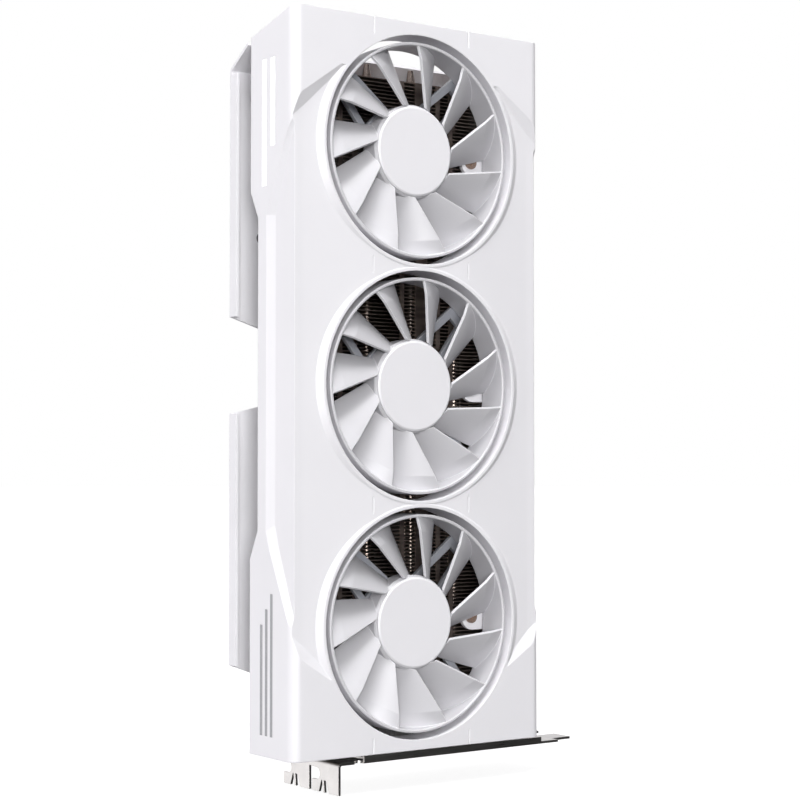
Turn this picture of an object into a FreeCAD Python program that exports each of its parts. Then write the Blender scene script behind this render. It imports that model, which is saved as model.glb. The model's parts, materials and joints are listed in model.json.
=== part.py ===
import FreeCAD, Part
import math
import os
import Sketcher

# Graphics card with three fans, millimetres.
# X runs across the card, -X is the long edge with the power plug, +X the slot edge.
# Y runs through the thickness, 0 is the fan face and the backplate lies at the far side.
# Z runs along the card, 0 is the outer face of the slot bracket.

os.makedirs("parts", exist_ok=True)
doc = FreeCAD.newDocument("graphics_card")
V = FreeCAD.Vector
Y_AXIS = V(0, 1, 0)

DIMENSIONS = [
    ("cover_width", 120.4), ("cover_start", 4.0), ("cover_end", 289.0),
    ("cover_depth", 30.5), ("cover_waist_depth", 25.0), ("cover_corner", 4.0),
    ("recess_depth", 1.7), ("bridge_drop", 0.25), ("bridge_half", 23.2), ("skin_thickness", 2.3),
    ("opening_radius", 45.2), ("rim_radius", 46.4), ("rim_foot_radius", 49.6),
    ("duct_outer", 46.8), ("duct_back", 13.6),
    ("fan_pitch", 93.0), ("first_fan", 53.0), ("blade_count", 11),
    ("ring_outer", 42.65), ("ring_inner", 41.35), ("ring_front", 1.1), ("ring_back", 13.9),
    ("cap_radius", 17.8), ("cap_front", 4.4), ("cap_thickness", 1.0),
    ("cup_radius", 18.6), ("cup_wall", 1.4), ("cup_back", 13.6),
    ("magnet_inner", 15.4), ("stator_inner", 4.2),
    ("shaft_radius", 1.5), ("bearing_bore", 1.53), ("bearing_outer", 2.8),
    ("frame_front", 14.4), ("frame_thickness", 2.0), ("foot_offset", 35.4),
    ("ear_x", 36.0), ("ear_front", 15.4), ("ear_back", 17.2),
    ("fin_front", 18.0), ("fin_back", 35.2), ("fin_pitch", 1.5), ("fin_thickness", 0.4),
    ("fin_first", 11.0), ("fin_last", 269.0), ("fin_left", -51.5), ("fin_right", 52.0),
    ("pipe_radius", 3.0), ("pipe_depth", 29.6), ("pipe_spacing", 22.0), ("pipe_middle", 16.0),
    ("pipe_tip", 277.0), ("die_front", 37.4),
    ("frame_plate_front", 35.2), ("frame_plate_thickness", 1.0),
    ("board_front", 39.8), ("board_thickness", 1.6), ("board_left", -42.0), ("board_right", 68.0),
    ("board_start", 1.3), ("board_end", 192.0), ("contact_edge", 76.4),
    ("chip_x", 15.0), ("chip_z", 95.0),
    ("plate_front", 45.0), ("plate_thickness", 1.2), ("plate_crease", 270.5),
    ("lip_front", 41.1), ("flange_top", 279.5), ("flange_front", 32.6),
    ("bracket_thickness", 1.0), ("bracket_left", -35.7), ("bracket_length", 120.0),
    ("bracket_front", 5.6), ("bracket_width", 38.7), ("tab_drop", 11.3), ("slot_pitch", 20.32),
    ("flange_height", 2.8), ("origin_depth", 31.5),
]

sheet = doc.addObject("Spreadsheet::Sheet", "dims")
for row, (alias, amount) in enumerate(DIMENSIONS, start=1):
    sheet.set("A%d" % row, alias)
    sheet.set("B%d" % row, str(amount))
    sheet.setAlias("B%d" % row, alias)
doc.recompute()
D = {alias: float(sheet.get(alias)) for alias, amount in DIMENSIONS}

NODES = []


def amount(value):
    """A number as it is, or the value of a named cell."""
    return D[value] if isinstance(value, str) else float(value)


def rect(left, low, right, high):
    return ("path", [("line", (left, low)), ("line", (right, low)),
                     ("line", (right, high)), ("line", (left, high))])


def poly(points):
    return ("path", [("line", point) for point in points])


def circle(x, y, radius):
    return ("circle", x, y, radius)


def slot(x, low, high, radius):
    """Round-ended slot standing along the second sketch direction."""
    return ("path", [("line", (x - radius, low)), ("arc", (x, low - radius), (x + radius, low)),
                     ("line", (x + radius, high)), ("arc", (x, high + radius), (x - radius, high))])


class Builder:
    """Builds one PartDesign body feature by feature."""

    def __init__(self, label):
        self.body = doc.addObject("PartDesign::Body", label)
        self.body.Label = label

    def origin(self, role):
        for feature in self.body.Origin.OriginFeatures:
            if feature.Role == role:
                return feature
        raise ValueError(role)

    def sketch(self, role, level, outlines):
        """Sketch on an origin plane moved to a level; XZ sketches face -Y."""
        item = self.body.newObject("Sketcher::SketchObject", self.body.Name + "_sketch")
        item.AttachmentSupport = [(self.origin(role), "")]
        item.MapMode = "FlatFace"
        sign = -1 if role == "XZ_Plane" else 1
        item.AttachmentOffset = FreeCAD.Placement(V(0, 0, sign * amount(level)),
                                                  FreeCAD.Rotation())
        if isinstance(level, str):
            item.setExpression("AttachmentOffset.Base.z", "%d * dims.%s" % (sign, level))
        for outline in outlines:
            if outline[0] == "circle":
                index = item.addGeometry(Part.Circle(V(outline[1], outline[2], 0), V(0, 0, 1),
                                                     amount(outline[3])), False)
                rule = item.addConstraint(Sketcher.Constraint("Radius", index,
                                                              amount(outline[3])))
                if isinstance(outline[3], str):
                    item.setExpression("Constraints[%d]" % rule, "dims." + outline[3])
            else:
                self.draw(item, outline[1])
        return item

    def draw(self, item, steps):
        """Closed outline: each step runs to its last point from the step before it."""
        ends = [step[-1] for step in steps]
        for index, step in enumerate(steps):
            start = V(*ends[index - 1], 0)
            finish = V(*step[-1], 0)
            if step[0] == "line":
                item.addGeometry(Part.LineSegment(start, finish), False)
            else:
                item.addGeometry(Part.Arc(start, V(*step[1], 0), finish), False)

    def size(self, feature, length):
        feature.Length = amount(length)
        if isinstance(length, str):
            feature.setExpression("Length", "dims." + length)

    def pad(self, role, level, length, outlines):
        profile = self.sketch(role, level, outlines)
        feature = self.body.newObject("PartDesign::Pad", self.body.Name + "_pad")
        feature.Profile = profile
        self.size(feature, length)
        feature.Reversed = role == "XZ_Plane"
        doc.recompute()
        return feature

    def pocket(self, role, level, length, outlines):
        """Cut from the level towards the positive axis; length None cuts right through."""
        profile = self.sketch(role, level, outlines)
        before = self.body.Shape.Volume
        feature = self.body.newObject("PartDesign::Pocket", self.body.Name + "_pocket")
        feature.Profile = profile
        if length is None:
            feature.Type = 1
            feature.Midplane = True
        else:
            self.size(feature, length)
            feature.Reversed = role != "XZ_Plane"
        doc.recompute()
        if self.body.Shape.Volume >= before:
            raise RuntimeError("pocket removed nothing from " + self.body.Label)
        return feature

    def revolve(self, outlines, kind="PartDesign::Revolution"):
        """Turn outlines drawn as (radius, Y) about the Y axis."""
        profile = self.sketch("XY_Plane", 0, outlines)
        feature = self.body.newObject(kind, self.body.Name + "_turn")
        feature.Profile = profile
        feature.ReferenceAxis = (profile, ["V_Axis"])
        feature.Angle = 360
        doc.recompute()
        return feature

    def polar(self, feature, count):
        pattern = self.body.newObject("PartDesign::PolarPattern", self.body.Name + "_polar")
        pattern.Originals = [feature]
        pattern.Axis = (self.origin("Y_Axis"), [""])
        pattern.Angle = 360
        pattern.Occurrences = count
        self.body.Tip = pattern
        doc.recompute()
        return pattern

    def along(self, feature, count, length):
        pattern = self.body.newObject("PartDesign::LinearPattern", self.body.Name + "_row")
        pattern.Originals = [feature]
        pattern.Direction = (self.origin("Z_Axis"), [""])
        pattern.Length = length
        pattern.Occurrences = count
        self.body.Tip = pattern
        doc.recompute()
        return pattern

    def soften(self, kind, radius, chooser):
        """Fillet or chamfer on the edges picked by a test on each edge."""
        base = self.body.Tip
        names = ["Edge%d" % (index + 1) for index, edge in enumerate(base.Shape.Edges)
                 if chooser(edge)]
        feature = self.body.newObject("PartDesign::" + kind, self.body.Name + "_soft")
        feature.Base = (base, names)
        if kind == "Fillet":
            feature.Radius = radius
        else:
            feature.Size = radius
        doc.recompute()
        return feature


def keep(item, label):
    item.Label = label
    NODES.append(item)
    return item


def solid(label, shape):
    """A document object carrying one finished shape."""
    item = doc.addObject("Part::Feature", label)
    item.Shape = shape
    item.Label = label
    return item


def group(label, shapes, expression=None):
    item = solid(label, Part.makeCompound(shapes))
    item.Placement = FreeCAD.Placement()
    if expression:
        item.setExpression("Placement.Base.y", expression)
    return keep(item, label)


def moved(shape, x, y, z):
    copy = shape.copy()
    copy.translate(V(x, y, z))
    return copy


def block(x0, x1, y0, y1, z0, z1):
    return Part.makeBox(x1 - x0, y1 - y0, z1 - z0, V(x0, y0, z0))


def rod(x, z, y0, y1, radius):
    return Part.makeCylinder(radius, y1 - y0, V(x, y0, z), Y_AXIS)


def bolt(x, z, y_head, y_end, head_radius, head_height, radius, facing):
    """Screw along Y; facing -1 has its head towards -Y, +1 towards +Y."""
    low, high = sorted((y_head, y_head + facing * -1 * head_height))
    head = rod(x, z, low, high, head_radius)
    cross = block(x - 1.5, x + 1.5, y_head - 0.5, y_head + 0.5, z - 0.25, z + 0.25)
    other = block(x - 0.25, x + 0.25, y_head - 0.5, y_head + 0.5, z - 1.5, z + 1.5)
    start, finish = sorted((y_head, y_end))
    shank = rod(x, z, start, finish, radius)
    return head.fuse(shank).cut(cross).cut(other).removeSplitter()


half = D["cover_width"] / 2
start = D["cover_start"]
length = D["cover_end"] - start
fan_heights = [D["first_fan"] + index * D["fan_pitch"] for index in (2, 1, 0)]

# ---------------------------------------------------------------- cover
recess = D["recess_depth"]
core_half = half - recess
bridge = D["bridge_half"]
drop = D["bridge_drop"]
skin = D["skin_thickness"]
corner = D["cover_corner"]
deep = D["cover_depth"]
inner = core_half - skin


def corner_mid(x_sign, x_edge, y_edge, radius):
    reach = radius * (1 - math.sqrt(0.5))
    return (x_sign * (x_edge - reach), y_edge + reach)


core = Builder("cover_core")
core.pad("XY_Plane", "cover_start", length, [("path", [
    ("line", (-core_half, deep)),
    ("line", (-core_half, recess + corner)),
    ("arc", corner_mid(-1, core_half, recess, corner), (-core_half + corner, recess)),
    ("line", (-bridge, drop)),
    ("line", (bridge, drop)),
    ("line", (core_half - corner, recess)),
    ("arc", corner_mid(1, core_half, recess, corner), (core_half, recess + corner)),
    ("line", (core_half, deep)),
    ("line", (inner, deep)),
    ("line", (inner, recess + corner)),
    ("arc", corner_mid(1, inner, recess + skin, corner - skin), (inner - 1.7, recess + skin)),
    ("line", (bridge, drop + skin)),
    ("line", (-bridge, drop + skin)),
    ("line", (-inner + 1.7, recess + skin)),
    ("arc", corner_mid(-1, inner, recess + skin, corner - skin), (-inner, recess + corner)),
    ("line", (-inner, deep)),
])])

outer_wall = half - 2.6
outer = Builder("cover_outer")
outer.pad("XY_Plane", "cover_start", length, [("path", [
    ("line", (-half, deep)),
    ("line", (-half, corner)),
    ("arc", corner_mid(-1, half, 0, corner), (-half + corner, 0)),
    ("line", (half - corner, 0)),
    ("arc", corner_mid(1, half, 0, corner), (half, corner)),
    ("line", (half, deep)),
    ("line", (outer_wall, deep)),
    ("line", (outer_wall, corner)),
    ("arc", corner_mid(1, outer_wall, 2.0, 2.0), (outer_wall - 2.0, 2.0)),
    ("line", (-outer_wall + 2.0, 2.0)),
    ("arc", corner_mid(-1, outer_wall, 2.0, 2.0), (-outer_wall, corner)),
    ("line", (-outer_wall, deep)),
])])


def ramped_tool(top_points, floor_points):
    """Solid between an outline on the surface and a smaller one at recess depth."""
    upper = Part.makePolygon(top_points + top_points[:1])
    lower = Part.makePolygon(floor_points + floor_points[:1])
    return Part.makeLoft([upper, lower], True, True)


def stretch(top, floor, above):
    """Carries the ramp past the surface, away from the floor."""
    return [t + (t - f) * above for t, f in zip(top, floor)]


face_top = [(-38.6, 268.4), (-56.5, 255.8), (-66.0, 247.0), (-66.0, 52.0), (-55.6, 41.7),
            (-43.6, 33.9), (43.6, 33.9), (55.6, 41.7), (66.0, 52.0), (66.0, 247.0),
            (56.5, 255.8), (38.6, 268.4)]
face_floor = [(-34.0, 267.4), (-56.5, 249.4), (-64.0, 243.2), (-64.0, 54.5), (-47.8, 42.0),
              (-40.0, 35.8), (40.0, 35.8), (47.8, 42.0), (64.0, 54.5), (64.0, 243.2),
              (56.5, 249.4), (34.0, 267.4)]
face_top = [V(x, 0, z) for x, z in face_top]
face_floor = [V(x, recess, z) for x, z in face_floor]
face_tool = ramped_tool(stretch(face_top, face_floor, 0.5), face_floor)

side_top = [(-4.0, 257.0), (7.9, 234.2), (19.2, 210.6), (19.2, 89.8), (16.6, 82.6), (-4.0, 41.0)]
side_floor = [(-6.0, 263.0), (5.6, 234.0), (15.0, 210.3), (15.0, 92.0), (12.0, 82.8), (-6.0, 39.0)]
side_tools = []
for sign in (-1, 1):
    top = [V(sign * half, y, z) for y, z in side_top]
    floor = [V(sign * core_half, y, z) for y, z in side_floor]
    side_tools.append(ramped_tool(stretch(top, floor, 0.5), floor))

recess_tool = solid("cover_recess", face_tool.fuse(side_tools).removeSplitter())
recess_tool.Placement = FreeCAD.Placement()
raised = doc.addObject("Part::Cut", "cover_raised")
raised.Base = outer.body
raised.Tool = recess_tool

collar = Builder("cover_collar")
collar.revolve([poly([(D["opening_radius"] - 1.0, 0), (D["rim_radius"], 0),
                      (D["rim_foot_radius"], recess), (D["rim_foot_radius"], 2.2),
                      (D["duct_outer"], 2.2), (D["duct_outer"], D["duct_back"]),
                      (D["opening_radius"] - 1.0, D["duct_back"])])])
cover_parts = [core.body, raised]
openings = []
for index, height in enumerate(fan_heights):
    ring = solid("cover_rim_%d" % (index + 1), collar.body.Shape.copy())
    ring.Placement = FreeCAD.Placement(V(0, 0, height), FreeCAD.Rotation())
    cover_parts.append(ring)
    hole = doc.addObject("Part::Cylinder", "cover_opening_%d" % (index + 1))
    hole.Radius = D["opening_radius"]
    hole.setExpression("Radius", "dims.opening_radius")
    hole.Height = 15
    hole.Placement = FreeCAD.Placement(V(0, -1, height), FreeCAD.Rotation(V(1, 0, 0), -90))
    hole.setExpression("Placement.Base.z", "dims.first_fan + %d * dims.fan_pitch" % (2 - index))
    openings.append(hole)

foot = D["foot_offset"]
frame_front = D["frame_front"]
posts = []
post_bores = []
for height in fan_heights:
    for sx in (-1, 1):
        for sz in (-1, 1):
            posts.append(rod(sx * foot, height + sz * foot, 1.6, frame_front, 2.6))
            post_bores.append(rod(sx * foot, height + sz * foot, 8.0, frame_front + 1, 0.9))

# Light ears reach in behind each opening at mid height and carry the cover screws.
ear_x = D["ear_x"]
ear_front = D["ear_front"]
ear_back = D["ear_back"]
for height in fan_heights:
    for sx in (-1, 1):
        low, high = sorted((sx * (ear_x + 1.0), sx * (inner + 0.8)))
        tongue = block(low, high, ear_front, ear_back, height - 5.4, height + 5.4)
        nose = rod(sx * (ear_x + 1.0), height, ear_front, ear_back, 5.4)
        posts.append(tongue.fuse(nose))
        post_bores.append(rod(sx * ear_x, height, ear_front - 1, ear_back + 1, 1.6))

cover_posts = solid("cover_posts", Part.makeCompound(posts))
cover_posts.Placement = FreeCAD.Placement()
cover_parts.append(cover_posts)

rake = (D["cover_end"] - 280.9) / deep
rake_tool = Part.Face(Part.makePolygon([
    V(-80, -2, D["cover_end"] + 2 * rake), V(-80, 40, D["cover_end"] - 40 * rake),
    V(-80, 40, 300), V(-80, -2, 300), V(-80, -2, D["cover_end"] + 2 * rake)])).extrude(V(160, 0, 0))
waist = D["cover_waist_depth"]
waist_tool = Part.Face(Part.makePolygon([
    V(-80, waist, 89.6), V(-80, waist, 210.0), V(-80, 32, 223.2), V(-80, 32, 75.6),
    V(-80, waist, 89.6)])).extrude(V(160, 0, 0))
bar_spans = [(13.0, 16.2, 237.0, 271.0), (19.0, 22.2, 222.0, 271.0)]
light_slots = [block(-half - 1, -inner + 1, y0, y1, z0, z1) for y0, y1, z0, z1 in bar_spans]
groove_spans = [(4.0, 10.2), (96.2, 102.8), (189.2, 195.8), (282.3, 289.0)]
grooves = [block(sx * bridge - 0.3, sx * bridge + 0.3, -1, 0.4, z0, z1)
           for sx in (-1, 1) for z0, z1 in groove_spans]
stripe_spans = [(14.0, 15.8), (17.6, 19.4), (21.2, 23.0)]
stripe_low, stripe_high = 12.0, 66.0
stripes = [block(-half - 1, -half + 0.3, y0, y1, stripe_low, stripe_high - 6.0 * index)
           for index, (y0, y1) in enumerate(stripe_spans)]
end_trim = block(-80, 80, -2, 40, start - 10, start)
cuts = solid("cover_cuts", Part.makeCompound([rake_tool, waist_tool, end_trim] + light_slots
                                             + grooves + stripes + post_bores))
cuts.Placement = FreeCAD.Placement()

cover_sum = doc.addObject("Part::MultiFuse", "cover_sum")
cover_sum.Shapes = cover_parts
cover_minus = doc.addObject("Part::MultiFuse", "cover_minus")
cover_minus.Shapes = openings + [cuts]
shroud = doc.addObject("Part::Cut", "shroud")
shroud.Base = cover_sum
shroud.Tool = cover_minus
doc.recompute()
keep(shroud, "shroud")

diffuser = [block(-half + 0.1, -inner, y0 + 0.05, y1 - 0.05, z0 + 0.05, z1 - 0.05)
            for y0, y1, z0, z1 in bar_spans]
group("side_light_diffuser", diffuser)
light_board = doc.addObject("Part::Box", "light_board_blank")
light_board.Length = 1.0
light_board.Width = 14.5
light_board.Height = 56.0
light_board.Placement = FreeCAD.Placement(V(-inner, 10.0, 218.0), FreeCAD.Rotation())
light_board.setExpression("Placement.Base.x",
                          "dims.skin_thickness + dims.recess_depth - dims.cover_width / 2")
ear_room = doc.addObject("Part::Box", "light_board_notch")
ear_room.Length = 3.0
ear_room.Width = ear_back - ear_front + 0.6
ear_room.Height = 11.4
ear_room.Placement = FreeCAD.Placement(V(-inner - 1.0, ear_front - 0.3, fan_heights[0] - 5.7),
                                       FreeCAD.Rotation())
notched_board = doc.addObject("Part::Cut", "side_light_board")
notched_board.Base = light_board
notched_board.Tool = ear_room
keep(notched_board, "side_light_board")
badge = [block(-half, -half + 0.3, y0, y1, stripe_low, stripe_high - 6.0 * index)
         for index, (y0, y1) in enumerate(stripe_spans)]
group("side_badge", badge)

# ---------------------------------------------------------------- fan wheels
ring = Builder("wheel_ring")
ring.revolve([poly([(D["ring_inner"] + 0.3, D["ring_front"]), (D["ring_outer"] - 0.3, D["ring_front"]),
                    (D["ring_outer"], D["ring_front"] + 0.3), (D["ring_outer"], D["ring_back"]),
                    (D["ring_inner"], D["ring_back"]), (D["ring_inner"], D["ring_front"] + 0.3)])])

cup_top = D["cap_front"] + D["cap_thickness"]
cup_inside = D["cup_radius"] - D["cup_wall"]
cup = Builder("wheel_cup")
cup.revolve([poly([(D["shaft_radius"], cup_top), (D["cap_radius"], cup_top),
                   (D["cup_radius"], cup_top + 0.9), (D["cup_radius"], D["cup_back"]),
                   (cup_inside, D["cup_back"]), (cup_inside, cup_top + 1.4),
                   (3.2, cup_top + 1.4), (3.2, cup_top + 2.8), (D["shaft_radius"], cup_top + 2.8)])])

BLADE_WRAP = 23.5
BLADE_STATIONS = [  # distance from the axis, sweep in degrees, front edge, back edge, thickness
    (D["cap_radius"] + 0.3, -0.5, 4.7, 12.6, 1.4),
    (35.5, 14.6, 1.4, 13.4, 1.3),
    (D["ring_inner"] + 0.25, 17.0, 1.7, 13.2, 1.2),
]


def blade_section(distance, sweep, front, back, thickness):
    """Closed cambered outline in the plane square to the radius at this station."""
    angle = math.radians(sweep - BLADE_WRAP / 2)
    radial = V(math.cos(angle), 0, math.sin(angle))
    tangent = V(-math.sin(angle), 0, math.cos(angle))
    reach = distance * math.tan(math.radians(BLADE_WRAP / 2))
    chord = math.hypot(2 * reach, back - front)
    side = (-(back - front) / chord, -2 * reach / chord)

    def point(along, offset):
        level = front + (back - front) * along + side[1] * offset
        shift = reach - 2 * reach * along + side[0] * offset
        return radial * distance + tangent * shift + V(0, level, 0)

    thin = thickness * 0.4
    bulge = chord * 0.075
    outline = [
        Part.Arc(point(0, thin), point(0.5, bulge + thickness / 2), point(1, thin)).toShape(),
        Part.makeLine(point(1, thin), point(1, -thin)),
        Part.Arc(point(1, -thin), point(0.5, bulge - thickness / 2), point(0, -thin)).toShape(),
        Part.makeLine(point(0, -thin), point(0, thin)),
    ]
    return Part.Wire(outline)


blade = Part.makeLoft([blade_section(*station) for station in BLADE_STATIONS], True, True)
blades = []
for index in range(int(D["blade_count"])):
    copy = blade.copy()
    copy.rotate(V(0, 0, 0), Y_AXIS, -360.0 * index / D["blade_count"])
    blades.append(copy)
wheel = ring.body.Shape.fuse([cup.body.Shape] + blades).removeSplitter()

cap = Builder("wheel_cap")
cap.revolve([poly([(0, D["cap_front"]), (D["cap_radius"] - 0.7, D["cap_front"]),
                   (D["cap_radius"], D["cap_front"] + 0.45), (D["cap_radius"], cup_top),
                   (0, cup_top)])])
magnet = Builder("wheel_magnet")
magnet.revolve([rect(D["magnet_inner"], 8.0, cup_inside, 13.2)])
shaft = Builder("wheel_shaft")
shaft.revolve([rect(0, cup_top, D["shaft_radius"], 15.2)])

# ---------------------------------------------------------------- fan frames
frame = Builder("fan_frame")
frame.pad("XZ_Plane", "frame_front", "frame_thickness", [circle(0, 0, 17.0)])
diagonal = math.sqrt(0.5)


def turned(along, across):
    return ((along - across) * diagonal, (along + across) * diagonal)


foot_reach = foot / diagonal
strut = frame.pad("XZ_Plane", "frame_front", "frame_thickness", [
    poly([turned(12, -8.5), turned(foot_reach, -4.2), turned(foot_reach, 4.2), turned(12, 8.5)])])
frame.polar(strut, 4)
gap = frame.pocket("XZ_Plane", "frame_front", "frame_thickness", [
    poly([turned(19, -5.0), turned(38, -2.4), turned(38, 2.4), turned(19, 5.0)])])
frame.polar(gap, 4)
pad_foot = frame.pad("XZ_Plane", "frame_front", "frame_thickness", [circle(foot, foot, 4.4)])
frame.polar(pad_foot, 4)
foot_hole = frame.pocket("XZ_Plane", "frame_front", "frame_thickness", [circle(foot, foot, 1.0)])
frame.polar(foot_hole, 4)
frame.pad("XZ_Plane", 8.8, 5.6, [circle(0, 0, D["stator_inner"])])
frame.pocket("XZ_Plane", 8.0, 7.6, [circle(0, 0, D["bearing_outer"])])

stator = Builder("fan_stator")
stator.pad("XZ_Plane", 9.2, 3.8, [circle(0, 0, 7.0), circle(0, 0, "stator_inner")])
tooth = stator.pad("XZ_Plane", 9.2, 3.8, [
    poly([(6.5, -1.1), (11.8, -1.1), (11.8, -3.6), (14.1, -3.6), (14.1, 3.6), (11.8, 3.6),
          (11.8, 1.1), (6.5, 1.1)])])
stator.polar(tooth, 9)
bearing = Builder("fan_bearing")
bearing.revolve([rect(D["bearing_bore"], 8.6, D["bearing_outer"], 15.2)])

FAN_SETS = [("rotor", wheel), ("hub_cap", cap.body.Shape), ("magnet_ring", magnet.body.Shape),
            ("shaft", shaft.body.Shape), ("fan_frame", frame.body.Shape),
            ("stator", stator.body.Shape), ("bearing", bearing.body.Shape)]
FAN_PHASES = (9.3, 5.3, 10.0)
TURNING = ("rotor", "hub_cap", "magnet_ring", "shaft")
fan_screw_shapes = []
for index, height in enumerate(fan_heights):
    for name, shape in FAN_SETS:
        label = "%s_%d" % (name, index + 1)
        item = solid(label, shape.copy())
        phase = -FAN_PHASES[index] if name in TURNING else 0.0
        item.Placement = FreeCAD.Placement(V(0, 0, height), FreeCAD.Rotation(Y_AXIS, phase))
        item.setExpression("Placement.Base.z",
                           "dims.first_fan + %d * dims.fan_pitch" % (2 - index))
        keep(item, label)
    for sx in (-1, 1):
        for sz in (-1, 1):
            fan_screw_shapes.append(bolt(sx * foot, height + sz * foot, frame_front + 3.0, 9.0,
                                         1.9, 1.0, 0.9, 1))
group("fan_screws", fan_screw_shapes)

# ---------------------------------------------------------------- cooler
fin_front = D["fin_front"]
fin_back = D["fin_back"]
pipe_xs = [D["pipe_middle"] + step * D["pipe_spacing"] for step in (-1, 0, 1)]
pipe_start = 45.0
chip_x, chip_z = D["chip_x"], D["chip_z"]
cold_half = 38.0
cold_front = 30.6


def fin_profile(z):
    """Outline of the fin at this height: full, or stepped round the parts behind it."""
    face = block(D["fin_left"], D["fin_right"], fin_front, fin_back, 0, D["fin_thickness"])
    cutters = []
    if z < 27:
        cutters.append(block(-60, 60, 31.0, 40, -1, 1))
    if abs(z - chip_z) < cold_half + 0.6:
        cutters.append(block(chip_x - cold_half - 0.5, 60, cold_front, 40, -1, 1))
    if 141 < z < 167:
        cutters.append(block(-60, -27, 28.5, 40, -1, 1))
    for height in fan_heights:
        if abs(z - height) < 3.2:
            for sx in (-1, 1):
                cutters.append(block(sx * ear_x - 3, sx * ear_x + 3, 10, 24.2, -1, 1))
    if z > pipe_start:
        for x in pipe_xs:
            cutters.append(Part.makeCylinder(D["pipe_radius"], 3, V(x, D["pipe_depth"], -1)))
    return face.cut(cutters) if cutters else face


fins = []
fin_count = int((D["fin_last"] - D["fin_first"]) / D["fin_pitch"]) + 1
profiles = {}
for index in range(fin_count):
    z = D["fin_first"] + index * D["fin_pitch"]
    key = (z < 27, abs(z - chip_z) < cold_half + 0.6, 141 < z < 167, z > pipe_start,
           any(abs(z - height) < 3.2 for height in fan_heights))
    if key not in profiles:
        profiles[key] = fin_profile(z)
    fins.append(moved(profiles[key], 0, 0, z))
fin_top = D["fin_first"] + (fin_count - 1) * D["fin_pitch"] + D["fin_thickness"]
group("fin_stack", fins)

tab_xs = (-44.0, -27.0, -20.0, 3.0, 21.0, 27.5, 44.5)
group("fin_tabs", [block(x - 1.0, x + 1.0, fin_front - 0.4, fin_front, D["fin_first"], fin_top)
                   for x in tab_xs])
spine = doc.addObject("Part::Box", "fin_spine")
spine.Length = 6.0
spine.Width = 0.6
spine.Height = fin_top - D["fin_first"]
spine.Placement = FreeCAD.Placement(V(9.5, fin_front - 0.6, D["fin_first"]), FreeCAD.Rotation())
spine.setExpression("Placement.Base.y", "dims.fin_front - 0.6")
keep(spine, "fin_spine")

pipes = []
for x in pipe_xs:
    level = D["pipe_depth"]
    neck, shoulder = D["pipe_tip"] - 7.0, D["pipe_tip"] - 12.0
    tube = Part.makeCylinder(D["pipe_radius"], shoulder - pipe_start, V(x, level, pipe_start))
    swage = Part.makeCone(D["pipe_radius"], 2.3, neck - shoulder, V(x, level, shoulder))
    tip = Part.makeCone(2.3, 1.1, D["pipe_tip"] - neck, V(x, level, neck))
    pipes.append(tube.fuse([swage, tip]).removeSplitter())
group("heat_pipes", pipes)

cold = Builder("cold_plate")
cold.pad("XZ_Plane", cold_front, D["die_front"] - cold_front,
         [rect(chip_x - cold_half, chip_z - cold_half, chip_x + cold_half, chip_z + cold_half)])
cold.pocket("XY_Plane", chip_z - cold_half - 1, 2 * cold_half + 2,
            [circle(x, D["pipe_depth"], "pipe_radius") for x in pipe_xs])
hold = 32.0
hold_points = [(chip_x + sx * hold, chip_z + sz * hold) for sx in (-1, 1) for sz in (-1, 1)]
cold.pad("XZ_Plane", D["die_front"] - 0.2, 5.8, [circle(x, z, 2.2) for x, z in hold_points])
cold.pocket("XZ_Plane", 38.0, 6.0, [circle(x, z, 1.3) for x, z in hold_points])
keep(cold.body, "cold_plate")

board_posts = [(-34.0, 40.0), (58.0, 40.0), (-34.0, 184.0), (46.0, 184.0)]
far_posts = [(-46.0, 205.0), (46.0, 205.0), (-46.0, 260.0), (46.0, 260.0)]
plate_back = D["frame_plate_front"] + D["frame_plate_thickness"]
carrier = Builder("cooler_frame")
carrier.pad("XZ_Plane", "frame_plate_front", "frame_plate_thickness", [
    poly([(-50, 28), (62, 28), (62, 50), (50, 54), (50, 266), (-50, 266)])])
carrier.pocket("XZ_Plane", 30, 10, [rect(chip_x - cold_half - 0.6, 56, 70, 134)])
carrier.pocket("XZ_Plane", 30, 10, [rect(-60, 140, -26.5, 168)])
carrier.pocket("XZ_Plane", 30, 10, [rect(-36, 198, -4, 262), rect(4, 198, 36, 262)])
carrier.pad("XZ_Plane", plate_back - 0.2, D["board_front"] - plate_back + 0.2,
            [circle(x, z, 2.6) for x, z in board_posts])
carrier.pad("XZ_Plane", plate_back - 0.2, D["plate_front"] - plate_back + 0.2,
            [circle(x, z, 2.6) for x, z in far_posts])
carrier.pocket("XZ_Plane", 35, 12, [circle(x, z, 1.25) for x, z in board_posts + far_posts])
keep(carrier.body, "cooler_frame")

post_template = Builder("mount_post")
post_template.revolve([rect(1.25, D["ear_back"], 2.4, 24.2)])
group("mount_posts", [moved(post_template.body.Shape, sx * ear_x, 0, height)
                      for height in fan_heights for sx in (-1, 1)])
group("ear_screws", [bolt(sx * ear_x, height, ear_front - 1.0, 22.0, 2.6, 1.0, 1.25, -1)
                     for height in fan_heights for sx in (-1, 1)])

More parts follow.
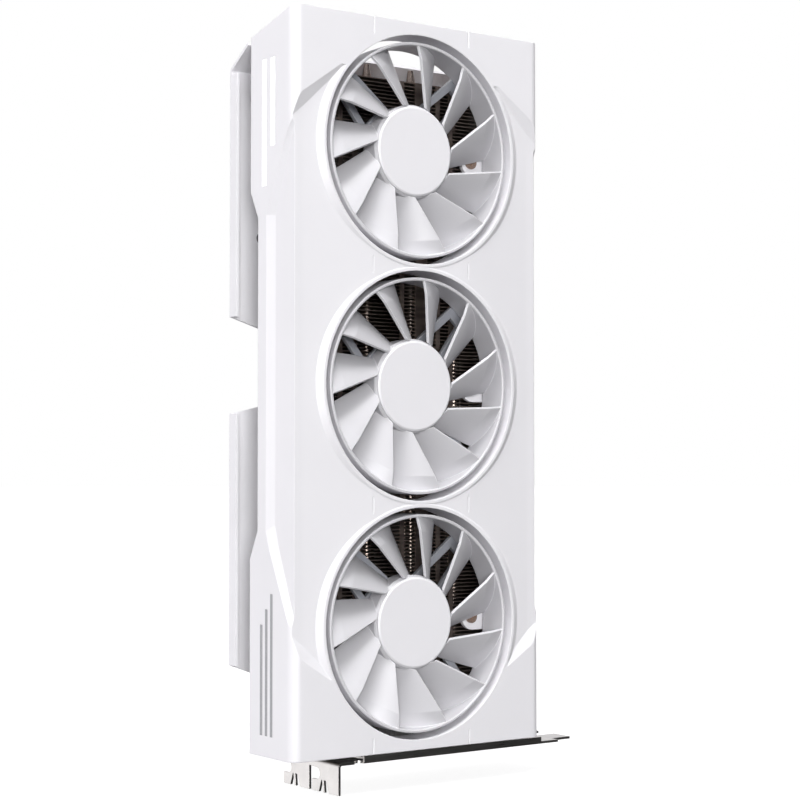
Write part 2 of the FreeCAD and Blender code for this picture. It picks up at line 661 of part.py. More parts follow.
# ---------------------------------------------------------------- circuit board
board_front = D["board_front"]
board_back = board_front + D["board_thickness"]
edge = D["board_right"]
tip = D["contact_edge"]
lug_points = [(-28.5, 5.5), (61.0, 5.5)]
board = Builder("pcb")
board.pad("XZ_Plane", "board_front", "board_thickness", [
    poly([(-33, D["board_start"]), (edge, D["board_start"]), (edge, 44.0), (tip - 0.6, 44.0),
          (tip, 44.6), (tip, 55.1), (tip - 0.6, 55.65), (70.0, 55.65), (70.0, 57.55),
          (tip - 0.6, 57.55), (tip, 58.1), (tip, 128.6), (tip - 0.6, 129.2), (edge, 129.2),
          (edge, D["board_end"]), (D["board_left"], D["board_end"]), (D["board_left"], 14.0),
          (-33, 14.0)])])
board.pocket("XZ_Plane", 38, 6, [circle(x, z, 1.6) for x, z in board_posts + lug_points])
board.pocket("XZ_Plane", 38, 6, [circle(x, z, 2.6) for x, z in hold_points])
keep(board.body, "pcb")

contacts = []
for first, count in ((44.4, 11), (58.1, 71)):
    for index in range(count):
        z = first + index
        for y in (board_front - 0.1, board_back):
            contacts.append(block(tip - 5.0, tip - 0.8, y, y + 0.1, z, z + 0.7))
group("edge_contacts", contacts)

die_front = D["die_front"]
package = doc.addObject("Part::Box", "gpu_package")
package.Length, package.Width, package.Height = 40.0, board_front - die_front - 0.8, 40.0
package.Placement = FreeCAD.Placement(V(chip_x - 20, die_front + 0.8, chip_z - 20),
                                      FreeCAD.Rotation())
package.setExpression("Placement.Base.x", "dims.chip_x - 20")
package.setExpression("Placement.Base.z", "dims.chip_z - 20")
keep(package, "gpu_package")
die = doc.addObject("Part::Box", "gpu_die")
die.Length, die.Width, die.Height = 18.0, 0.8, 14.0
die.Placement = FreeCAD.Placement(V(chip_x - 9, die_front, chip_z - 7), FreeCAD.Rotation())
die.setExpression("Placement.Base.y", "dims.die_front")
keep(die, "gpu_die")

memory_spots = [(chip_x + sx * 28.5, chip_z + dz, 6.0, 7.0) for sx in (-1, 1)
                for dz in (-16, 0, 16)]
memory_spots += [(chip_x + dx, chip_z + 28.5, 7.0, 6.0) for dx in (-9, 9)]
chip_front = board_front - 1.2
group("memory_chips", [block(x - a, x + a, chip_front, board_front, z - b, z + b)
                       for x, z, a, b in memory_spots])
coil_xs = [-18.0 + 10.5 * index for index in range(7)]
pads = [block(x - a, x + a, die_front, chip_front, z - b, z + b) for x, z, a, b in memory_spots]
pads.append(block(coil_xs[0] - 4, coil_xs[-1] + 4, plate_back, plate_back + 0.6, 150, 158))
group("thermal_pads", pads)
group("inductors", [block(x - 4, x + 4, plate_back + 0.6, board_front, 150, 158)
                    for x in coil_xs])
group("power_stages", [block(x - 2.5, x + 2.5, board_front - 0.9, board_front, 140.5, 146.5)
                       for x in coil_xs])
group("capacitors", [block(x - 2.2, x + 2.2, board_front - 2.8, board_front, z, z + 7.3)
                     for x in coil_xs for z in (161, 171)])
headers = []
for z in (140.0, 158.0):
    shell = block(54.0, 58.5, 36.6, board_front, z, z + 10.2)
    shell = shell.cut(block(54.8, 57.7, 36.0, 38.9, z + 0.8, z + 9.4))
    for index in range(4):
        pin_z = z + 1.3 + 2.54 * index - 0.32
        shell = shell.fuse(block(55.9, 56.5, 37.0, 39.2, pin_z, pin_z + 0.6))
    headers.append(shell)
group("fan_headers", headers)

plug_z = 153.5
plug_mouth = -45.0
plug_back = -32.0
socket = Builder("power_socket")
socket.pad("XZ_Plane", 30.0, board_front - 30.0,
           [rect(plug_mouth, plug_z - 9.3, plug_back, plug_z + 9.3)])
cell_centres = [(y, plug_z + (index - 1.5) * 4.2) for y in (32.6, 36.9) for index in range(4)]
socket.pocket("YZ_Plane", plug_mouth - 1, 11.0,
              [rect(y - 1.7, z - 1.7, y + 1.7, z + 1.7) for y, z in cell_centres])
socket.pocket("YZ_Plane", plug_mouth - 1, 20.0,
              [rect(y - 0.5, z - 0.5, y + 0.5, z + 0.5) for y, z in cell_centres])
socket.pad("XZ_Plane", 29.0, 1.2, [rect(plug_mouth, plug_z - 2.5, plug_mouth + 4, plug_z + 2.5)])
keep(socket.body, "power_socket")
pins = []
for y, z in cell_centres:
    leg = -30.6 if y > 35 else -28.8
    pin = block(plug_mouth + 1.5, leg, y - 0.5, y + 0.5, z - 0.5, z + 0.5)
    pins.append(pin.fuse(block(leg - 1.0, leg, y - 0.5, board_front, z - 0.5, z + 0.5)))
group("power_pins", pins)

# ---------------------------------------------------------------- clamp behind the chip
clamp = Builder("retention_bracket")
arm = 3.2
clamp_front = 43.0
clamp.pad("XZ_Plane", clamp_front, 1.2, [
    poly([(chip_x + a, chip_z + b) for a, b in
          ((-hold - arm, -hold + arm), (-hold + arm, -hold - arm), (0, -2 * arm),
           (hold - arm, -hold - arm), (hold + arm, -hold + arm), (2 * arm, 0),
           (hold + arm, hold - arm), (hold - arm, hold + arm), (0, 2 * arm),
           (-hold + arm, hold + arm), (-hold - arm, hold - arm), (-2 * arm, 0))])])
clamp.pad("XZ_Plane", board_back, clamp_front - board_back + 0.2,
          [rect(chip_x - 8, chip_z - 8, chip_x + 8, chip_z + 8)])
clamp.pocket("XZ_Plane", 40, 6, [circle(x, z, 1.5) for x, z in hold_points])
keep(clamp.body, "retention_bracket")
group("retention_screws", [bolt(x, z, clamp_front + 2.4, 38.4, 2.6, 1.2, 1.3, 1)
                           for x, z in hold_points])

# ---------------------------------------------------------------- backplate
plate_front = D["plate_front"]
plate_level = plate_front + D["plate_thickness"]
crease = D["plate_crease"]
tray = Builder("backplate_tray")
tray.pad("XZ_Plane", "plate_front", "plate_thickness", [
    poly([(-half, 36.5), (-half, 135.0), (-40.5, 139.6), (-40.5, 167.0), (-half, 173.1),
          (-half, crease), (half, crease), (half, start), (-30.0, start), (-44.0, 16.0),
          (-44.0, 30.6)])])
tray.pad("XZ_Plane", "lip_front", plate_front - D["lip_front"] + 0.2,
         [rect(-half, 36.5, -half + 1.2, 135.0), rect(-half, 173.1, -half + 1.2, 269.0)])
flange_run = V(0, D["flange_front"] - plate_front, D["flange_top"] - 0.9 - crease)
flange_out = V(0, flange_run.z, -flange_run.y).normalize() * D["plate_thickness"]
tray.pad("YZ_Plane", -half, "cover_width", [
    poly([(plate_front, crease - 0.4), (plate_front, crease),
          (plate_front + flange_run.y, crease + flange_run.z),
          (plate_front + flange_run.y + flange_out.y, crease + flange_run.z + flange_out.z),
          (plate_front + flange_out.y, crease + flange_out.z),
          (plate_level, crease), (plate_level, crease - 0.4)])])
tray.pocket("XZ_Plane", 40, 8, [rect(chip_x - cold_half, chip_z - cold_half,
                                     chip_x + cold_half, chip_z + cold_half)])
tray.pocket("XZ_Plane", 40, 8, [slot(-36.0 + 9.0 * index, 214.0, 250.0, 2.2)
                                for index in range(9)])
sinks = [rod(x, z, 40, 50, 1.25).fuse(Part.makeCone(1.25, 2.45, D["plate_thickness"],
                                                     V(x, plate_front, z), Y_AXIS))
         for x, z in board_posts + far_posts]
sink_tool = solid("backplate_sinks", Part.makeCompound(sinks))
sink_tool.Placement = FreeCAD.Placement()
backplate = doc.addObject("Part::Cut", "backplate")
backplate.Base = tray.body
backplate.Tool = sink_tool
doc.recompute()
keep(backplate, "backplate")


def sunk_screw(x, z, end):
    head = Part.makeCone(1.25, 2.45, D["plate_thickness"], V(x, plate_front, z), Y_AXIS)
    shank = rod(x, z, end, plate_front + 0.5, 1.25)
    cross = block(x - 1.4, x + 1.4, plate_level - 0.5, plate_level + 1, z - 0.25, z + 0.25)
    other = block(x - 0.25, x + 0.25, plate_level - 0.5, plate_level + 1, z - 1.4, z + 1.4)
    return head.fuse(shank).cut(cross).cut(other)


group("backplate_screws", [sunk_screw(x, z, 36.6) for x, z in board_posts + far_posts])
spacer = Builder("backplate_spacer")
spacer.revolve([rect(1.5, board_back, 2.8, plate_front)])
group("backplate_standoffs", [moved(spacer.body.Shape, x, 0, z) for x, z in board_posts])

# ---------------------------------------------------------------- slot bracket
left = D["bracket_left"]
thick = D["bracket_thickness"]
right = left + D["bracket_length"]
front = D["bracket_front"]
rear = front + D["bracket_width"]
fall = -D["tab_drop"]
bend = 1.6
fold = bend - thick
bracket = Builder("io_bracket")
bracket.pad("XZ_Plane", "bracket_front", "bracket_width", [("path", [
    ("line", (left, fall)),
    ("line", (left, thick - bend)),
    ("arc", (left + bend * (1 - diagonal), thick - bend * (1 - diagonal)), (left + bend, thick)),
    ("line", (right, thick)),
    ("line", (right, 0)),
    ("line", (left + bend, 0)),
    ("arc", (left + bend - fold * diagonal, -fold + fold * diagonal), (left + thick, -fold)),
    ("line", (left + thick, fall)),
])])
shoulder = 74.3
tongue_front = 4.1
tongue_width = 10.2
pitch = D["slot_pitch"]
bracket.pocket("XY_Plane", -2, 5, [
    rect(shoulder, front - 1, right + 1, front + tongue_front),
    rect(shoulder, front + tongue_front + tongue_width, right + 1, front + tongue_front + pitch),
    rect(shoulder, front + tongue_front + tongue_width + pitch, right + 1, rear + 1)])
notch_z = -4.5
notch_r = 2.3
for offset in (0.0, pitch):
    lip = front + 18.42 + offset
    mid = lip - 3.2
    bracket.pocket("YZ_Plane", left - 1, 3, [("path", [
        ("line", (lip + 1.0, notch_z - notch_r)), ("line", (lip + 1.0, notch_z + notch_r)),
        ("line", (mid, notch_z + notch_r)),
        ("arc", (mid - notch_r, notch_z), (mid, notch_z - notch_r))])])
    bracket.pocket("YZ_Plane", left - 1, 3, [
        poly([(front + 6.2 + offset, fall - 1), (front + 8.6 + offset, -6.6),
              (front + 11.8 + offset, -6.6), (front + 13.9 + offset, fall - 1)])])
    bracket.pad("YZ_Plane", left, "bracket_thickness", [
        poly([(front + 10.2 + offset, -6.2), (front + 11.4 + offset, -6.2),
              (front + 10.6 + offset, fall), (front + 9.6 + offset, fall)])])
bracket.pocket("YZ_Plane", left - 1, 3, [rect(front + 18.42, fall - 1, front + pitch, -1.9)])
bracket.pad("XY_Plane", 0, "flange_height", [rect(-23.7, front, 65.3, front + thick)])
bracket.pocket("XY_Plane", -1, 5, [circle(-26.0, front, 2.2)])
screen_xs = (12.0, 38.0)
hdmi_x = -14.0
port_y0, port_y1 = 34.2, board_front
bracket.pocket("XY_Plane", -1, 3, [rect(x - 8.5, port_y0 - 0.2, x + 8.5, port_y1 + 0.2)
                                   for x in screen_xs])
bracket.pocket("XY_Plane", -1, 3, [rect(hdmi_x - 7.7, port_y0 - 0.2, hdmi_x + 7.7, port_y1 + 0.2)])
bracket.pocket("XY_Plane", -1, 3, [slot(-20.0 + 6.5 * index, 12.5, 27.5, 1.6)
                                   for index in range(13)])
bracket.pad("XZ_Plane", board_front - 1.0, 1.0,
            [rect(-33.0, 0.5, -24.0, 9.5), rect(56.0, 0.5, 66.0, 9.5)])
bracket.pocket("XZ_Plane", board_front - 2.0, 3.0, [circle(x, z, 1.6) for x, z in lug_points])
keep(bracket.body, "io_bracket")
group("io_bracket_screws", [bolt(x, z, board_front - 2.4, board_back, 2.6, 1.4, 1.5, -1)
                            for x, z in lug_points])


def port(x, half_width, depth):
    """Metal shell standing on the board, open towards the outside."""
    shell = block(x - half_width, x + half_width, port_y0, port_y1, 0.1, depth)
    room = block(x - half_width + 0.5, x + half_width - 0.5, port_y0 + 0.5, port_y1 - 0.5,
                 -1, depth - 3.0)
    return shell.cut(room)


group("dp_sockets", [port(x, 8.3, 19.0) for x in screen_xs])
group("hdmi_socket", [port(hdmi_x, 7.5, 14.0)])
group("socket_tongues", [block(x - w, x + w, 36.5, 37.5, 2.0, depth - 3.0)
                         for x, w, depth in ((screen_xs[0], 6.4, 19.0), (screen_xs[1], 6.4, 19.0),
                                             (hdmi_x, 5.6, 14.0))])

# ---------------------------------------------------------------- checks and files
doc.recompute()
for item in doc.Objects:
    if "Invalid" in item.State or "Error" in item.State:
        raise RuntimeError("%s failed to build" % item.Label)
for item in NODES:
    if item.Shape.isNull() or not item.Shape.isValid():
        raise RuntimeError("%s has no sound shape" % item.Label)
    # The shared frame has its origin on the outer face of the bracket, between its vents and ports.
    finished = item.Shape.copy()
    finished.translate(V(0, -D["origin_depth"], 0))
    finished.exportStep("parts/%s.step" % item.Label)
print("nodes", len(NODES))
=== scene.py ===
import json
import math

import bmesh
import bpy
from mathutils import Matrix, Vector


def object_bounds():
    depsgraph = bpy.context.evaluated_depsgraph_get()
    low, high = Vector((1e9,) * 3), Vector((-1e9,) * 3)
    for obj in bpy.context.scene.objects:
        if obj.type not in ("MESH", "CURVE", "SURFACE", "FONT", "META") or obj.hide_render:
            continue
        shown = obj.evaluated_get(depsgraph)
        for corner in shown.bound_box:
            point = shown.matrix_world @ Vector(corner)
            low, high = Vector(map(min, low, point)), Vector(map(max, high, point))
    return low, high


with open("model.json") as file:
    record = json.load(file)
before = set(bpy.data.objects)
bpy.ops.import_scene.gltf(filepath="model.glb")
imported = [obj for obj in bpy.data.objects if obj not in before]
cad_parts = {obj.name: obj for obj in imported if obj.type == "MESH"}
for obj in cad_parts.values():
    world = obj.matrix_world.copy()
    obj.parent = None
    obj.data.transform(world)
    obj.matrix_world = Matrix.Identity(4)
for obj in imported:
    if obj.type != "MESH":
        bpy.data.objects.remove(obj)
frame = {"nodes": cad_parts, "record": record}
cad_low, cad_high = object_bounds()
nodes = frame["nodes"]


# ---------------------------------------------------------------- materials
# Lengths inside the materials are metres; texture scales are features per metre.
NOISE_ROUGHNESS = 0.55
BEVEL_SAMPLES = 6
PLASTIC_SHINE = 0.42
# Tint of the painted edge highlight: the paler colour painted on sharp edges in place of the light
# they catch.
EDGE_HIGHLIGHT_TINT = (0.97, 0.965, 0.985)


class Look:
    """One procedural material: a principled shader with colour, roughness and relief nodes."""

    def __init__(self, name, colour, roughness, metallic=0.0):
        self.material = bpy.data.materials.new(name)
        self.material.use_nodes = True
        self.tree = self.material.node_tree
        self.shader = self.tree.nodes["Principled BSDF"]
        self.shader.inputs["Base Color"].default_value = (*colour, 1.0)
        self.shader.inputs["Roughness"].default_value = roughness
        self.shader.inputs["Metallic"].default_value = metallic
        self.colour = colour
        self.roughness = roughness
        self.place = self.tree.nodes.new("ShaderNodeTexCoord").outputs["Object"]
        self.normal = None

    def join(self, source, target):
        self.tree.links.new(source, target)

    def noise(self, scale, detail=3.0, stretch=(1, 1, 1)):
        node = self.tree.nodes.new("ShaderNodeTexNoise")
        node.inputs["Scale"].default_value = scale
        node.inputs["Detail"].default_value = detail
        node.inputs["Roughness"].default_value = NOISE_ROUGHNESS
        self.join(self.stretched(stretch), node.inputs["Vector"])
        return node.outputs["Fac"]

    def cells(self, scale, metric="EUCLIDEAN"):
        node = self.tree.nodes.new("ShaderNodeTexVoronoi")
        node.distance = metric
        node.inputs["Scale"].default_value = scale
        self.join(self.place, node.inputs["Vector"])
        return node.outputs["Distance"]

    def stretched(self, stretch):
        if tuple(stretch) == (1, 1, 1):
            return self.place
        node = self.tree.nodes.new("ShaderNodeMapping")
        node.inputs["Scale"].default_value = stretch
        self.join(self.place, node.inputs["Vector"])
        return node.outputs["Vector"]

    def spread(self, source, low, high, start=0.3, end=0.7):
        node = self.tree.nodes.new("ShaderNodeMapRange")
        node.inputs["From Min"].default_value = start
        node.inputs["From Max"].default_value = end
        node.inputs["To Min"].default_value = low
        node.inputs["To Max"].default_value = high
        self.join(source, node.inputs["Value"])
        return node.outputs["Result"]

    def vary_roughness(self, source, amount):
        value = self.spread(source, self.roughness - amount, self.roughness + amount)
        self.join(value, self.shader.inputs["Roughness"])
        return self

    def vary_colour(self, source, second, start=0.3, end=0.7):
        node = self.tree.nodes.new("ShaderNodeMix")
        node.data_type = "RGBA"
        previous = self.shader.inputs["Base Color"]
        if previous.is_linked:
            self.join(previous.links[0].from_socket, node.inputs["A"])
        else:
            node.inputs["A"].default_value = (*self.colour, 1.0)
        node.inputs["B"].default_value = (*second, 1.0)
        self.join(self.spread(source, 0.0, 1.0, start, end), node.inputs["Factor"])
        self.join(node.outputs["Result"], previous)
        return self

    def round_edges(self, radius):
        node = self.tree.nodes.new("ShaderNodeBevel")
        node.samples = BEVEL_SAMPLES
        node.inputs["Radius"].default_value = radius
        self.normal = node.outputs["Normal"]
        self.join(self.normal, self.shader.inputs["Normal"])
        return self

    def painted_edge_highlight(self, radius, second):
        """Painted edge highlight: a paler tone painted where the rounded and true normals part, in
        place of the light that sharp edges catch.
        """
        rounded = self.tree.nodes.new("ShaderNodeBevel")
        rounded.samples = BEVEL_SAMPLES
        rounded.inputs["Radius"].default_value = radius
        true = self.tree.nodes.new("ShaderNodeNewGeometry")
        agree = self.tree.nodes.new("ShaderNodeVectorMath")
        agree.operation = "DOT_PRODUCT"
        self.join(rounded.outputs["Normal"], agree.inputs[0])
        self.join(true.outputs["Normal"], agree.inputs[1])
        return self.vary_colour(agree.outputs["Value"], second, 0.995, 0.93)

    def relief(self, source, depth, strength=1.0):
        node = self.tree.nodes.new("ShaderNodeBump")
        node.inputs["Strength"].default_value = strength
        node.inputs["Distance"].default_value = depth
        self.join(source, node.inputs["Height"])
        if self.normal is not None:
            self.join(self.normal, node.inputs["Normal"])
        self.normal = node.outputs["Normal"]
        self.join(self.normal, self.shader.inputs["Normal"])
        return self


def moulded(name, colour, roughness, grain=2600, depth=0.000012, edge=0.0005, edge_highlight_level=1.0):
    """Satin moulded plastic: fine spark-eroded grain, slow flow marks, and soft pale edges painted
    on as an edge highlight.
    """
    look = Look(name, colour, roughness)
    second = tuple(channel * 0.965 for channel in colour)
    look.round_edges(edge)
    look.vary_roughness(look.noise(90, 4), 0.05)
    look.vary_colour(look.noise(16, 3), second)
    # Painted highlight: sharp edges get a paler colour, scaled by the edge highlight level.
    look.painted_edge_highlight(edge, tuple(edge_highlight_level * channel for channel in EDGE_HIGHLIGHT_TINT))
    look.relief(look.noise(grain, 2), depth)
    look.shader.inputs["Specular IOR Level"].default_value = PLASTIC_SHINE
    return look.material


def powder_coated(name, colour, roughness):
    """Baked powder coat on sheet metal: orange-peel waves under fine specks."""
    look = Look(name, colour, roughness)
    look.round_edges(0.0002)
    look.vary_roughness(look.noise(700, 3), 0.07)
    look.vary_colour(look.noise(40, 5), tuple(channel * 0.955 for channel in colour))
    look.relief(look.noise(1500, 2), 0.00003)
    look.relief(look.cells(4200), 0.000008)
    return look.material


def drawn_metal(name, colour, roughness, along, tarnish=None, depth=0.000006):
    """Metal with hair lines along one axis and a faint stain."""
    stretch = tuple(0.03 if axis == along else 1.0 for axis in "xyz")
    look = Look(name, colour, roughness, 1.0)
    look.round_edges(0.00015)
    look.vary_roughness(look.noise(2400, 3, stretch), 0.08)
    look.vary_colour(look.noise(60, 5), tarnish or tuple(c * 0.82 for c in colour))
    look.relief(look.noise(3600, 2, stretch), depth)
    return look.material


def solder_mask():
    """Dark board lacquer over fine copper tracks that run square to each other."""
    look = Look("board_mask", (0.020, 0.023, 0.027), 0.34)
    down = look.noise(1500, 1, (1.0, 1.0, 0.025))
    across = look.noise(1500, 1, (0.025, 1.0, 1.0))
    look.vary_colour(down, (0.036, 0.041, 0.047), 0.56, 0.60)
    look.vary_colour(across, (0.033, 0.038, 0.044), 0.60, 0.64)
    look.vary_colour(look.cells(700, "CHEBYCHEV"), (0.10, 0.10, 0.095), 0.13, 0.09)
    look.vary_roughness(look.noise(300, 3), 0.06)
    look.relief(down, 0.00002, 0.6)
    look.shader.inputs["Coat Weight"].default_value = 0.25
    look.shader.inputs["Coat Roughness"].default_value = 0.15
    return look.material


def moulding_compound(name, colour, roughness, grain=3000):
    look = Look(name, colour, roughness)
    look.round_edges(0.0001)
    look.vary_roughness(look.noise(400, 4), 0.08)
    look.vary_colour(look.noise(120, 3), tuple(channel * 1.5 for channel in colour))
    look.relief(look.noise(grain, 3), 0.00002)
    return look.material


def fin_metal():
    """Stamped fins in a dark warm grey, painted shade for the shadowed fin stack; each sheet a
    little different from the next.
    """
    # Both fin tones are painted shade: the fins are darkened in colour to stand for the shadow
    # inside the cooler.
    look = Look("fin_metal", (0.25, 0.205, 0.18), 0.42, 0.85)
    look.vary_colour(look.noise(260, 2, (0.1, 0.1, 1.0)), (0.13, 0.105, 0.092), 0.35, 0.65)
    look.vary_roughness(look.noise(500, 3), 0.10)
    look.relief(look.noise(2500, 2, (0.1, 1.0, 1.0)), 0.000012)
    return look.material


def gold_plate():
    look = Look("contact_gold", (0.83, 0.62, 0.27), 0.26, 1.0)
    look.vary_colour(look.noise(500, 4), (0.70, 0.48, 0.20))
    look.vary_roughness(look.noise(900, 3), 0.08)
    look.relief(look.noise(3000, 2), 0.000008)
    return look.material


def thermal_pad():
    look = Look("pad_grey", (0.46, 0.48, 0.54), 0.75)
    look.vary_colour(look.noise(700, 5), (0.36, 0.38, 0.45))
    look.vary_roughness(look.noise(900, 3), 0.08)
    look.relief(look.noise(1400, 4), 0.00006)
    return look.material


def polished_die():
    look = Look("die_silicon", (0.32, 0.35, 0.40), 0.12, 0.9)
    look.vary_colour(look.noise(80, 2), (0.27, 0.29, 0.36))
    look.vary_roughness(look.noise(300, 3), 0.04)
    return look.material


def lit_bar():
    """Frosted diffuser over small lamps: bright, with a slow ripple of light along it."""
    look = Look("light_bar", (0.95, 0.95, 0.97), 0.35)
    glow = look.spread(look.noise(120, 1, (0.1, 0.1, 1.0)), 0.55, 0.75)
    look.shader.inputs["Emission Color"].default_value = (1.0, 1.0, 1.0, 1.0)
    look.join(glow, look.shader.inputs["Emission Strength"])
    look.relief(look.noise(2600, 2), 0.00002)
    return look.material


def printed_grey():
    look = Look("badge_grey", (0.36, 0.36, 0.38), 0.5)
    look.vary_colour(look.noise(1500, 4), (0.42, 0.42, 0.44))
    look.vary_roughness(look.noise(600, 3), 0.08)
    look.relief(look.noise(3000, 2), 0.00001)
    return look.material


def stacked_core():
    """Punched steel sheets pressed together along Y."""
    look = Look("core_steel", (0.33, 0.27, 0.22), 0.4, 0.9)
    look.vary_colour(look.noise(1800, 2, (0.05, 1.0, 0.05)), (0.20, 0.16, 0.13), 0.4, 0.6)
    look.vary_roughness(look.noise(500, 3), 0.1)
    look.relief(look.noise(1800, 2, (0.05, 1.0, 0.05)), 0.00004)
    return look.material


COVER_WHITE = (0.915, 0.905, 0.935)
# The fan wheels are white like the cover; this darker grey is painted shade for the blades set deep
# in the fan openings.
WHEEL_WHITE_PAINTED_SHADE = (0.675, 0.668, 0.695)
LOOKS = {
    "cover_white": moulded("cover_white", COVER_WHITE, 0.44),
    "wheel_white": moulded("wheel_white", WHEEL_WHITE_PAINTED_SHADE, 0.38, 3200, 0.000008, 0.0004),
    "cap_white": moulded("cap_white", COVER_WHITE, 0.36, 3200, 0.000008, 0.0004),
    "frame_grey": moulded("frame_grey", (0.34, 0.35, 0.385), 0.46, edge_highlight_level=0.5),
    "header_white": moulded("header_white", (0.80, 0.78, 0.70), 0.40),
    "plate_white": powder_coated("plate_white", COVER_WHITE, 0.46),
    "frame_black": powder_coated("frame_black", (0.045, 0.045, 0.05), 0.45),
    "bracket_steel": drawn_metal("bracket_steel", (0.60, 0.585, 0.565), 0.34, "x"),
    "port_steel": drawn_metal("port_steel", (0.52, 0.52, 0.53), 0.32, "z"),
    "plate_nickel": drawn_metal("plate_nickel", (0.56, 0.54, 0.51), 0.28, "x"),
    "pipe_nickel": drawn_metal("pipe_nickel", (0.36, 0.31, 0.28), 0.24, "z",
                               (0.26, 0.20, 0.17)),
    "shaft_steel": drawn_metal("shaft_steel", (0.62, 0.62, 0.64), 0.2, "y"),
    "screw_steel": drawn_metal("screw_steel", (0.50, 0.50, 0.52), 0.3, "y"),
    "screw_bronze": drawn_metal("screw_bronze", (0.34, 0.25, 0.20), 0.32, "y"),
    "bearing_brass": drawn_metal("bearing_brass", (0.62, 0.44, 0.22), 0.34, "y"),
    "magnet_dark": moulding_compound("magnet_dark", (0.055, 0.053, 0.052), 0.5),
    "coil_grey": moulding_compound("coil_grey", (0.14, 0.14, 0.145), 0.55),
    "chip_black": moulding_compound("chip_black", (0.03, 0.03, 0.033), 0.42),
    "socket_black": moulding_compound("socket_black", (0.022, 0.022, 0.025), 0.38),
    "package_green": moulding_compound("package_green", (0.03, 0.11, 0.065), 0.34),
    "board_mask": solder_mask(),
    "fin_metal": fin_metal(),
    "contact_gold": gold_plate(),
    "pad_grey": thermal_pad(),
    "die_silicon": polished_die(),
    "light_bar": lit_bar(),
    "badge_grey": printed_grey(),
    "core_steel": stacked_core(),
}


def dress(piece, material):
    piece.data.materials.clear()
    piece.data.materials.append(material)


for row in frame["record"]["subparts"]:
    dress(nodes[row["node"]], LOOKS[row["material_slot"]])


# ---------------------------------------------------------------- room
FLOOR_RADIUS = 9.0
FLOOR_DROP = 0.0002
FLOOR_GLOW = 0.86
SHADE_FLOOR = 0.02
WORLD_TINT = (0.985, 0.975, 1.0, 1.0)
AIR_STRENGTH = 0.48
LAMP_SIZE = (1.0, 1.0)
TOP_BOX_PLACE = (-0.52, -0.66, 2.10)
TOP_BOX_POWER = 36.0
KEY_BOX_PLACE = (-1.10, -2.02, 0.15)
KEY_BOX_POWER = 49.0
# Each lobe is a direction, the span of nearness over which it eases in, and the change in light.
DARK_FRONT_FLAG = ((0.60, -0.80, 0.0), (0.35, 0.90), -0.48)
DARK_GROUND = ((0.15, -0.25, -1.0), (-0.1, 0.8), -0.40)
SOFT_REAR_WALL = ((0.70, 0.70, 0.10), (0.2, 1.0), 0.55)
BRIGHT_REAR_CARD = ((-0.53, 0.83, -0.16), (0.80, 0.97), 1.20)


def pale_floor(level):
    """A wide flat floor of pale matt card under the part."""
    mesh = bpy.data.meshes.new("floor")
    work = bmesh.new()
    bmesh.ops.create_circle(work, cap_ends=True, segments=96, radius=FLOOR_RADIUS)
    bmesh.ops.translate(work, verts=work.verts, vec=(0, 0, level))
    work.to_mesh(mesh)
    work.free()
    floor = bpy.data.objects.new("floor", mesh)
    bpy.context.scene.collection.objects.link(floor)
    look = Look("floor_card", (0.45, 0.45, 0.45), 0.9)
    look.shader.inputs["Emission Color"].default_value = (1.0, 1.0, 1.0, 1.0)
    look.shader.inputs["Emission Strength"].default_value = FLOOR_GLOW
    look.shader.inputs["Specular IOR Level"].default_value = 0.0
    look.relief(look.noise(400, 4), 0.0002, 0.3)
    dress(floor, look.material)
    floor.visible_diffuse = False
    floor.visible_glossy = False


def soft_light(name, place, target, size, power):
    """Square soft box that faces the target."""
    lamp = bpy.data.lights.new(name, "AREA")
    lamp.shape = "RECTANGLE"
    lamp.size, lamp.size_y = size
    lamp.energy = power
    holder = bpy.data.objects.new(name, lamp)
    holder.location = place
    away = Vector(place) - Vector(target)
    holder.rotation_mode = "QUATERNION"
    holder.rotation_quaternion = away.to_track_quat("Z", "Y")
    bpy.context.scene.collection.objects.link(holder)


def lobe(tree, toward, span, level):
    """World light that eases in as the world is seen nearer to one direction."""
    facing = tree.nodes.new("ShaderNodeVectorMath")
    facing.operation = "DOT_PRODUCT"
    facing.inputs[1].default_value = Vector(toward).normalized()
    direction = tree.nodes.new("ShaderNodeTexCoord")
    tree.links.new(direction.outputs["Generated"], facing.inputs[0])
    ease = tree.nodes.new("ShaderNodeMapRange")
    ease.interpolation_type = "SMOOTHSTEP"
    ease.inputs["From Min"].default_value, ease.inputs["From Max"].default_value = span
    ease.inputs["To Min"].default_value = 0.0
    ease.inputs["To Max"].default_value = level
    tree.links.new(facing.outputs["Value"], ease.inputs["Value"])
    return ease.outputs["Result"]


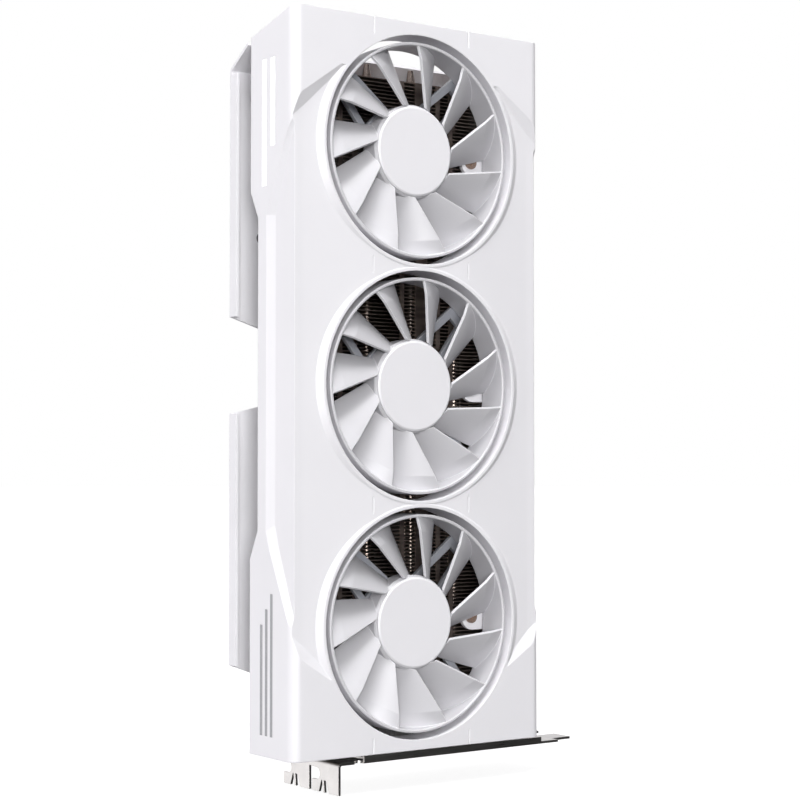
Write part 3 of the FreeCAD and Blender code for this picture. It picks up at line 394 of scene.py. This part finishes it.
def studio_air(strength, lobes):
    """Even surroundings with dark flags and bright cards, and a plain white backdrop to look at."""
    world = bpy.data.worlds.new("studio")
    bpy.context.scene.world = world
    world.use_nodes = True
    tree = world.node_tree
    lighting = tree.nodes["Background"]
    lighting.inputs["Color"].default_value = WORLD_TINT
    level = tree.nodes.new("ShaderNodeValue").outputs["Value"]
    level.default_value = strength
    for toward, span, change in lobes:
        total = tree.nodes.new("ShaderNodeMath")
        total.operation = "ADD"
        tree.links.new(level, total.inputs[0])
        tree.links.new(lobe(tree, toward, span, change), total.inputs[1])
        level = total.outputs["Value"]
    darkest = tree.nodes.new("ShaderNodeMath")
    darkest.operation = "MAXIMUM"
    darkest.inputs[1].default_value = SHADE_FLOOR
    tree.links.new(level, darkest.inputs[0])
    tree.links.new(darkest.outputs["Value"], lighting.inputs["Strength"])
    seen = tree.nodes.new("ShaderNodeBackground")
    seen.inputs["Color"].default_value = (1.0, 1.0, 1.0, 1.0)
    path = tree.nodes.new("ShaderNodeLightPath")
    either = tree.nodes.new("ShaderNodeMixShader")
    tree.links.new(path.outputs["Is Camera Ray"], either.inputs["Fac"])
    tree.links.new(lighting.outputs["Background"], either.inputs[1])
    tree.links.new(seen.outputs["Background"], either.inputs[2])
    tree.links.new(either.outputs["Shader"], tree.nodes["World Output"].inputs["Surface"])


centre = (cad_low + cad_high) / 2
pale_floor(cad_low.z - FLOOR_DROP)
studio_air(AIR_STRENGTH, (DARK_FRONT_FLAG, DARK_GROUND, SOFT_REAR_WALL, BRIGHT_REAR_CARD))
soft_light("top_box", TOP_BOX_PLACE, centre, LAMP_SIZE, TOP_BOX_POWER)
soft_light("key_box", KEY_BOX_PLACE, centre, LAMP_SIZE, KEY_BOX_POWER)
bpy.context.scene.view_settings.view_transform = "Standard"

# ---------------------------------------------------------------- camera
CAMERA_PLACE = (-0.4475, -0.6337, 0.1160)
CAMERA_TURN = -35.95
CAMERA_RISE = 1.86
LENS = 86.1

camera_data = bpy.data.cameras.new("camera")
camera_data.lens = LENS
camera_data.sensor_width = 36.0
camera_data.clip_start = 0.01
camera = bpy.data.objects.new("camera", camera_data)
camera.location = CAMERA_PLACE
camera.rotation_euler = (math.radians(90 + CAMERA_RISE), 0, math.radians(CAMERA_TURN))
bpy.context.scene.collection.objects.link(camera)
bpy.context.scene.camera = camera
